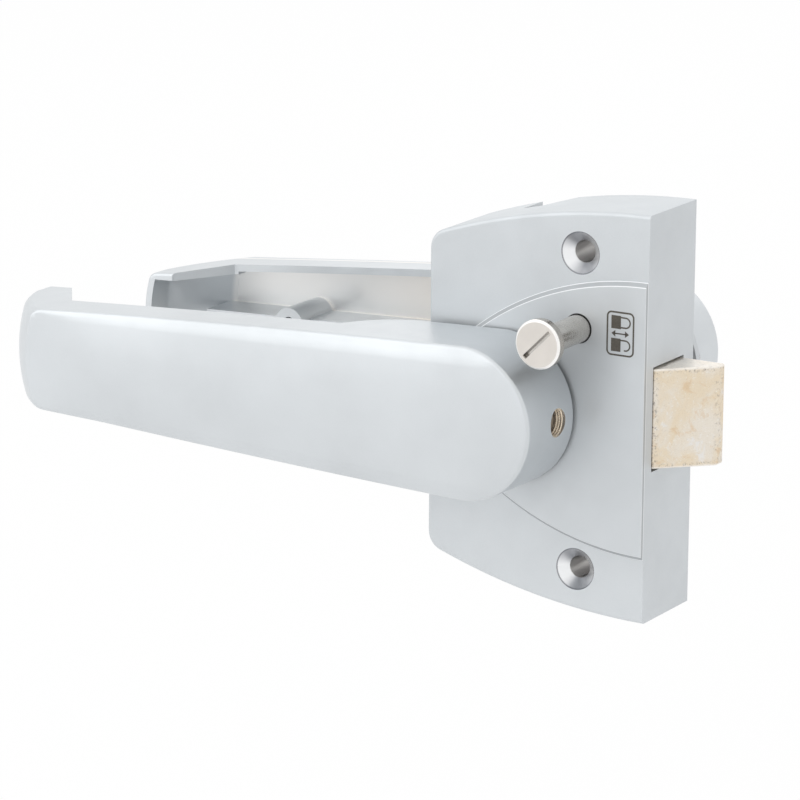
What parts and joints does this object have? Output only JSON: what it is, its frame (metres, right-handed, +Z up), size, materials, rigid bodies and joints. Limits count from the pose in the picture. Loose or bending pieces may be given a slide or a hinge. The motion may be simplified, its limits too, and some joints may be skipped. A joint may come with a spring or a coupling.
{
  "type": "lever door lock",
  "caption": "Surface-mounted latch lock with a lever handle on each side, a bevelled spring bolt, a push-pin lock and an outside rose.",
  "frame": {"origin": "midway between the two fixing-screw holes, on the plane where the case lies on the door", "axes": "+X towards the latch bolt, +Y through the door to the outside, +Z up"},
  "size_m": [0.1886, 0.0999, 0.1],
  "materials": {
    "silver_paint": "satin",
    "zinc_steel": "satin",
    "bearing_brass": "satin",
    "bolt_nickel": "satin",
    "pin_nickel": "satin",
    "spring_wire": "polished",
    "ring_rubber": "matte",
    "black_steel": "satin"
  },
  "bodies": {
    "case": {"case_shell": "silver_paint", "back_plate": "zinc_steel", "back_plate_screw_1": "zinc_steel", "back_plate_screw_2": "zinc_steel", "back_plate_screw_3": "zinc_steel", "back_plate_screw_4": "zinc_steel", "front_bush": "bearing_brass", "rear_bush": "bearing_brass", "rose_bush": "bearing_brass", "outside_rose": "silver_paint", "bolt_spring": "spring_wire", "return_spring": "spring_wire", "pin_stop_screw": "zinc_steel", "pin_friction_ring": "ring_rubber"},
    "levers": {"front_lever": "silver_paint", "rear_lever": "silver_paint", "hub": "zinc_steel", "spindle": "zinc_steel", "front_grub_screw": "black_steel", "rear_grub_screw": "black_steel"},
    "slide": {"retractor": "zinc_steel"},
    "bolt": {"latch_bolt": "bolt_nickel"},
    "pin": {"locking_pin": "pin_nickel"}
  },
  "joints": [
    {"name": "lever_turn", "type": "hinge", "parent": "case", "child": "levers", "pos_m": [-0.019, 0, -0.0005], "axis": [0, -1, 0], "range_deg": [0, 40], "stiffness_Nm_per_rad": 1.9, "springref_deg": -21.2, "deforming": ["return_spring"]},
    {"name": "slide_travel", "type": "slide", "parent": "case", "child": "slide", "axis": [-1, 0, 0], "range_m": [0, 0.012]},
    {"name": "bolt_travel", "type": "slide", "parent": "slide", "child": "bolt", "axis": [-1, 0, 0], "range_m": [0, 0.012], "stiffness_N_per_m": 750, "springref_m": -0.006, "deforming": ["bolt_spring"]},
    {"name": "pin_travel", "type": "slide", "parent": "case", "child": "pin", "axis": [0, 1, 0], "range_m": [0, 0.012]}
  ],
  "couplings": [
    {"joint": "slide_travel", "follows": "lever_turn", "m_per_rad": 0.017189}
  ]
}
